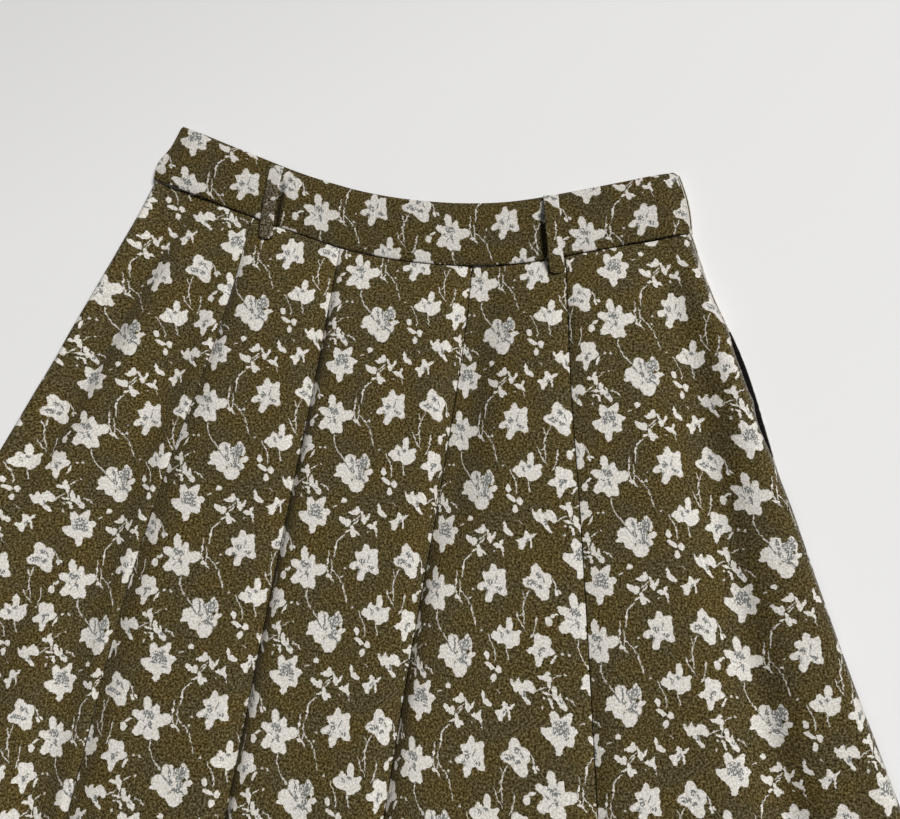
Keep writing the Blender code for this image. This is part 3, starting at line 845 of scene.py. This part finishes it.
class SkirtClothSettings(bpy.types.PropertyGroup):
    """What the skirt is sewn from."""

    thickness: measure("Thickness", "One layer of the jacquard", 0.0013)
    band_thickness: measure("Waistband", "Two layers and their interfacing", 0.0024)
    loop_thickness: measure("Belt loop", "A strip folded in three", 0.0015)
    tape_thickness: measure("Zip tape", "The woven tape of the zip", 0.0007)
    pitch: measure("Pitch", "Step of the cloth's grid", 0.0042)
    ground: tint("Ground", "Olive of the ground", (0.089, 0.064, 0.018))
    ground_patches: tint("Patches", "Greyer patches of the ground", (0.078, 0.062, 0.025))
    flower: tint("Flowers", "Off-white of the flowers", (0.895, 0.85, 0.77))
    # Grey of painted sheen on the side edges, at the zip and on the left loop, with a little rubbed fuzz
    worn: tint("Worn", "Grey of the cloth where it is a little worn", (0.27, 0.26, 0.235))
    stipple: tint("Stipple", "Grey flecks in the hearts", (0.185, 0.19, 0.18))


class SkirtStageSettings(bpy.types.PropertyGroup):
    """Floor, light and camera."""

    floor: tint("Floor", "Colour of the floor", (0.80, 0.794, 0.786))
    key: FloatProperty(name="Key light", description="Power of the softbox", default=3420.0, unit="POWER")
    fill: FloatProperty(name="Fill light", description="Power of the far softbox", default=8.0, unit="POWER")
    sky: FloatProperty(name="Sky", description="Strength of the light all round", default=0.07, min=0.0)
    lens: FloatProperty(name="Lens", description="Focal length", default=36.0, unit="CAMERA")


def edge_wear_and_sheen(away, downs, reach, at_zip):
    """How pale the cloth is painted along a side edge, mostly as sheen: exp(-(away / reach)^2) along the zip,
    less in its slit, and a faint band past it."""
    opens = smoothstep(downs, SLIT.start - SLIT_WEAR_AND_SHEEN_FADES, SLIT.start)
    slit = opens - smoothstep(downs, SLIT.end, SLIT.end + SLIT_WEAR_AND_SHEEN_FADES)
    zipped = at_zip * (1 - smoothstep(downs, *ZIP_END)) * (1 - slit * SLIT_LESS_WEAR_AND_SHEEN)
    faint = EDGE_WEAR_AND_SHEEN * bell(away / EDGE_WEAR_AND_SHEEN_OVER)
    return np.maximum(zipped[:, None] * bell(away / reach), faint)


def lay_gore(cloth, side, gore, grain, pull=None):
    """One gore of the front or the back. The back lies flat, is mirrored, and has a coarser grid."""
    front = side == "front"
    pitch = cloth.pitch if front else cloth.pitch * 2
    hem = SECTIONS[-1][gore + 2] - SECTIONS[-1][gore + 1]
    shares = fine_steps(hem, pitch) / hem
    downs = GAP + fine_steps(GORE_LENGTH - GAP, pitch)
    across, drop = gore_plan(gore, shares, downs, front)
    top = cloth.thickness
    if front:
        top = 2 * cloth.thickness + GAP + front_lift(gore, across, downs)
    # Painted sheen along the side edges, and a painted highlight on the fold edges at the zip
    reach, at_zip = ZIP_WEAR_AND_SHEEN[side]
    wear = 0.0
    if gore == len(GORES) - 1:
        wear = edge_wear_and_sheen(across[:, -1:] - across, downs, reach, at_zip)
    elif front and gore == 0:
        wear = edge_wear_and_sheen(across - across[:, :1], downs, reach, 0.0)
    print_at = print_place(grain, across, drop, top, pull, mirrored=not front)
    under = "back_" + grain.gore if front else None
    sew(
        side + "_" + grain.gore, (across, drop, top), cloth.thickness, print_at, jacquard(cloth),
        under, wear,
    )


class SKIRT_OT_front_gores(bpy.types.Operator):
    """Lay the five front gores, with their seams and folds"""

    bl_idname = "skirt.front_gores"
    bl_label = "Front gores"

    def execute(self, context):
        for gore, (grain, pull) in enumerate(zip(FRONT_GRAIN, PULLS)):
            lay_gore(context.scene.skirt_cloth, "front", gore, grain, pull)
        return {"FINISHED"}


class SKIRT_OT_back_gores(bpy.types.Operator):
    """Lay the five back gores flat"""

    bl_idname = "skirt.back_gores"
    bl_label = "Back gores"

    def execute(self, context):
        for gore, grain in enumerate(BACK_GRAIN):
            lay_gore(context.scene.skirt_cloth, "back", gore, grain)
        return {"FINISHED"}


def band_ends(across, up):
    """How far the two ends of the band bulge outwards, fading inwards: the left one low down, the right one
    along its height, each with a rounded upper corner."""
    corner = smoothstep(up, CORNER_FROM, 1) ** 2
    left = LEFT_END_BULGE * bell((up - LEFT_END_WIDEST) / LEFT_END_OVER) - LEFT_CORNER * corner
    right = RIGHT_END_BULGE + RIGHT_END_MORE * np.sin(np.pi * up) - RIGHT_CORNER * corner
    from_left, from_right = across - across[:1], across[-1:] - across
    fades = [np.exp(-each / BAND_END_FADES) for each in (from_left, from_right)]
    return right[:, None] * fades[1] - left[:, None] * fades[0]


def band_plan(along, up, right_inset):
    """Across and drop of the waistband's points, as arrays of [up, along]: the waist seam, moved up along
    its own normal by a share of the band's depth. With them, each point's place in the print, which is
    bent half as much as the band: its row drops by the bend times the square of the way from the middle,
    and its columns lean by that row's slope."""
    first, last = WAIST_SEAM[0].across, WAIST_SEAM[-1].across - right_inset
    across = first + (last - first) * along
    drop = along_waist("drop", across)
    depth = along_waist("depth", across)
    slope = np.gradient(drop, across)
    steep = np.sqrt(1 + slope**2)
    rise = up[:, None] * depth / steep
    middle = across + depth / 2 * slope / steep, drop - depth / 2 / steep
    steps = np.hypot(np.diff(middle[0]), np.diff(middle[1]))
    way = np.concatenate([[0], np.cumsum(steps)])
    under_middle = (0.5 - up)[:, None] * depth
    from_middle = way - BAND_PRINT_MIDDLE
    lean = under_middle * 2 * BAND_PRINT_BEND * from_middle
    print_right = (way - BAND_PRINT_START) / BAND_PRINT_STRETCH + lean
    print_down = under_middle - BAND_PRINT_DROP - BAND_PRINT_BEND * from_middle**2
    places = column_of(BAND_PULLS, "across")
    pulls = [smooth(places, column_of(BAND_PULLS, each), across) for each in ("right", "lean", "down")]
    print_right = print_right - pulls[0] - pulls[1] * (1 - 2 * up[:, None])
    print_down = print_down - pulls[2]
    bulge = band_ends(across, up)
    return across + rise * slope + bulge, drop - rise + bulge * slope, (print_right, print_down)


def loop_middle(loop, way):
    """How far across a loop's middle line lies, at shares of its way down."""
    return loop.across_top + (loop.across_bottom - loop.across_top) * way


def loop_creases(across, up):
    """The crease beside each loop's raised edge, from 0 to 1: a bell across it that fades out upwards. It
    sinks the band there and weighs the painted shade put in it.
    """
    up = up[:, None]
    way = (1 - up) * (1 - LOOP_UNDER / LOOP_LENGTH)
    creases = []
    for loop in LOOPS:
        aside = across - loop_middle(loop, way) - loop.inner_side * loop.crease_aside
        creases.append(bell(aside / CREASE_HALF_WIDTH) * (1 - smoothstep(up, *CREASE_FADES)))
    return creases


def band_lift(across, up, creases):
    """Height of the front band's underside over the back's: nothing at its two ends and in the creases, full
    between them, and a little lower along its two long edges."""
    from_end = np.minimum(across - across[:, :1], across[:, -1:] - across)
    lift = BAND_LIFT * smoothstep(from_end, 0, BAND_ENDS_OVER)
    from_edge = np.minimum(up, 1 - up)[:, None] * WAIST_SEAM[0].depth
    lift = lift * (1 - BAND_EDGE_SINKS / BAND_LIFT * bell(from_edge / BAND_EDGE_OVER))
    for crease in creases:
        lift = lift * (1 - crease)
    return lift


class SKIRT_OT_waistband(bpy.types.Operator):
    """Set the waistband, in front and behind"""

    bl_idname = "skirt.waistband"
    bl_label = "Waistband"

    def execute(self, context):
        cloth = context.scene.skirt_cloth
        thick = cloth.band_thickness
        width, depth = WAIST_SEAM[-1].across - WAIST_SEAM[0].across, WAIST_SEAM[0].depth
        along = fine_steps(width, cloth.pitch / 3) / width
        up = 1 - fine_steps(depth, cloth.pitch / 2) / depth
        for side, right_inset, top in (("back", 0.0, thick), ("front", ZIP_INSET, 2 * thick + GAP)):
            across, drop, print_at = band_plan(along, up, right_inset)
            under, darker = None, BAND_DARKER
            if side == "back":
                print_at = BACK_BAND_PRINT - print_at[0], print_at[1]
            else:
                under, creases = "waistband_back", loop_creases(across, up)
                top = top + band_lift(across, up, creases) + band_waver(across, drop)
                # Painted shade in the creases beside the loops, on top of the band's darker colour
                darker = darker + sum(loop.crease_darker * crease for loop, crease in zip(LOOPS, creases))
            # Painted highlight on the band's edge at the zip
            reach, at_zip = ZIP_WEAR_AND_SHEEN["band"]
            wear = at_zip * bell((across[:, -1:] - across) / reach)
            sew(
                "waistband_" + side, (across, drop, top), thick, print_at, jacquard(cloth),
                under, wear, darker,
            )
        return {"FINISHED"}


class SKIRT_OT_belt_loops(bpy.types.Operator):
    """Sew the belt loops over the waistband"""

    bl_idname = "skirt.belt_loops"
    bl_label = "Belt loops"

    def execute(self, context):
        cloth = context.scene.skirt_cloth
        way = fine_steps(LOOP_LENGTH, LOOP_PITCH[0]) / LOOP_LENGTH
        sides = fine_steps(LOOP_WIDTH, LOOP_PITCH[1]) / LOOP_WIDTH - 0.5
        band_top = 2 * cloth.band_thickness + GAP + BAND_LIFT
        gore_top = 2 * cloth.thickness + GAP + LIFT_AT_BAND + LOOP_ON_GORE
        for loop in LOOPS:
            centre = loop_middle(loop, way)
            drop = along_waist("drop", loop.across_bottom) + LOOP_UNDER - LOOP_LENGTH * (1 - way)
            lean = (loop.across_bottom - loop.across_top) / LOOP_LENGTH
            across = centre[:, None] + sides * LOOP_WIDTH
            drops = drop[:, None] - sides * LOOP_WIDTH * lean
            rounded = smoothstep(way, 1 - LOOP_END_OVER / LOOP_LENGTH, 1)[:, None]
            drops = drops - LOOP_END_ROUNDS * rounded * (2 * sides) ** 2
            past_band = smoothstep(drops - along_waist("drop", across), 0, LOOP_STEPS_DOWN)
            rest = band_top + (gore_top - band_top) * past_band + GAP
            arch = np.sin(np.pi * way)[:, None]
            tilt = 0.5 + sides * loop.inner_side
            top = rest + arch * (LOOP_ARCH + LOOP_TILT * tilt) + cloth.loop_thickness
            print_at = across - centre[:, None] + loop.print_right, drops - drop[0] + loop.print_down
            sew(
                loop.name, (across, drops, top), cloth.loop_thickness, print_at, jacquard(cloth),
                "waistband_front", loop.wear, loop.darker,
            )
        return {"FINISHED"}


class SKIRT_OT_side_zip(bpy.types.Operator):
    """Set the tape in the slit of the side seam"""

    bl_idname = "skirt.side_zip"
    bl_label = "Side zip"

    def execute(self, context):
        cloth = context.scene.skirt_cloth
        downs = np.linspace(SLIT.start, SLIT.end, TAPE_GRID[0])[1:-1]
        edges = [gore_plan(len(GORES) - 1, np.array([1.0]), downs, front) for front in (True, False)]
        share = np.linspace(0, 1, TAPE_GRID[1])
        start, end = edges[0][0] - TAPE_UNDER, edges[1][0] - SLIT.tape_edge
        across = start * (1 - share) + end * share
        drop = edges[0][1] * (1 - share) + edges[1][1] * share
        top = np.full_like(across, cloth.thickness + GAP + cloth.tape_thickness)
        sew(
            "side_zip_tape", (across, drop, top), cloth.tape_thickness, (across, drop), zip_tape(),
            "back_outer_right",
        )
        return {"FINISHED"}


class SKIRT_OT_stage(bpy.types.Operator):
    """Put in the floor, the lights and the camera"""

    bl_idname = "skirt.stage"
    bl_label = "Stage"

    def execute(self, context):
        stage = context.scene.skirt_stage
        make_floor(stage)
        make_lights(context, stage)
        make_camera(context, stage)
        return {"FINISHED"}


def make_floor(stage):
    """A flat square, whose colour goes from a painted-shade tone to a pale, painted-light one along a slanted
    line.
    """
    side = np.linspace(-FLOOR_REACH, FLOOR_REACH, 11)
    right, up = np.meshgrid(side, side)
    points = np.stack([right, up, np.full_like(up, -FLOOR_UNDER)], axis=-1).reshape(-1, 3)
    number = np.arange(len(points)).reshape(right.shape)
    faces = np.stack([number[:-1, :-1], number[:-1, 1:], number[1:, 1:], number[1:, :-1]], axis=-1)
    floor = new_piece("floor", new_mesh("floor", points, faces.reshape(-1, 4)))
    finish = Finish("pale_floor", {"Roughness": 0.7, "Specular IOR Level": 0.2})
    place = finish.add("ShaderNodeTexCoord", {}, {}, "Object")
    way = place.apply("DOT_PRODUCT", place, FLOOR_PALES_ALONG).within(*FLOOR_PALES_BETWEEN)
    # Painted shade and painted light on the floor
    shaded, pale = (tuple(factor * each for each in stage.floor) for factor in FLOOR_TONES)
    between = tuple(FLOOR_PALE_EARLY * a + (1 - FLOOR_PALE_EARLY) * b for a, b in zip(pale, shaded))
    tone = finish.ramp(way, [(0.0, shaded), (0.3, between), (1.0, pale)])
    floor.data.materials.append(finish.shade({"Base Color": tone}))


def make_lights(context, stage):
    """Two softboxes that face the skirt, and a pale sky."""
    for (name, place, size), power in zip(SOFTBOXES, (stage.key, stage.fill)):
        light = bpy.data.lights.new(name, "AREA")
        light.size, light.energy = size, power
        lamp = bpy.data.objects.new(name, light)
        lamp.location = place
        lamp.rotation_euler = aim(place, LIGHTS_FACE)
        context.scene.collection.objects.link(lamp)
    world = bpy.data.worlds.new("studio")
    world.use_nodes = True
    sky = world.node_tree.nodes["Background"]
    sky.inputs["Color"].default_value = (1.0, 1.0, 1.0, 1.0)
    sky.inputs["Strength"].default_value = stage.sky
    context.scene.world = world


def aim(place, at):
    """The turn that points a lamp's -Z from one place at another."""
    return (Vector(at) - Vector(place)).to_track_quat("-Z", "Y").to_euler()


def make_camera(context, stage):
    """The camera over the skirt, a little aside of it and turned."""
    data = bpy.data.cameras.new("camera")
    data.lens = stage.lens
    data.sensor_width = 36.0
    camera = bpy.data.objects.new("camera", data)
    camera.location = CAMERA_PLACE
    camera.rotation_euler = np.radians(CAMERA_TURNS)
    context.scene.collection.objects.link(camera)
    context.scene.camera = camera
    context.scene.view_settings.view_transform = "Standard"


PIECES = (
    SKIRT_OT_front_gores,
    SKIRT_OT_back_gores,
    SKIRT_OT_waistband,
    SKIRT_OT_belt_loops,
    SKIRT_OT_side_zip,
    SKIRT_OT_stage,
)


class SKIRT_PT_sidebar(bpy.types.Panel):
    """The skirt's sizes, colours and steps"""

    bl_label = "A-line skirt"
    bl_space_type = "VIEW_3D"
    bl_region_type = "UI"
    bl_category = "Skirt"

    def draw(self, context):
        for settings in (context.scene.skirt_cloth, context.scene.skirt_stage):
            for name in settings.__annotations__:
                self.layout.prop(settings, name)
        for piece in PIECES:
            self.layout.operator(piece.bl_idname)


CLASSES = (SkirtClothSettings, SkirtStageSettings, *PIECES, SKIRT_PT_sidebar)


def register():
    for each in CLASSES:
        bpy.utils.register_class(each)
    bpy.types.Scene.skirt_cloth = PointerProperty(type=SkirtClothSettings)
    bpy.types.Scene.skirt_stage = PointerProperty(type=SkirtStageSettings)


def unregister():
    del bpy.types.Scene.skirt_stage, bpy.types.Scene.skirt_cloth
    for each in reversed(CLASSES):
        bpy.utils.unregister_class(each)


def main():
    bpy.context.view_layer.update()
    register()
    bpy.ops.skirt.front_gores()
    bpy.ops.skirt.back_gores()
    bpy.ops.skirt.waistband()
    bpy.ops.skirt.belt_loops()
    bpy.ops.skirt.side_zip()
    bpy.ops.skirt.stage()


if __name__ == "__main__":
    main()
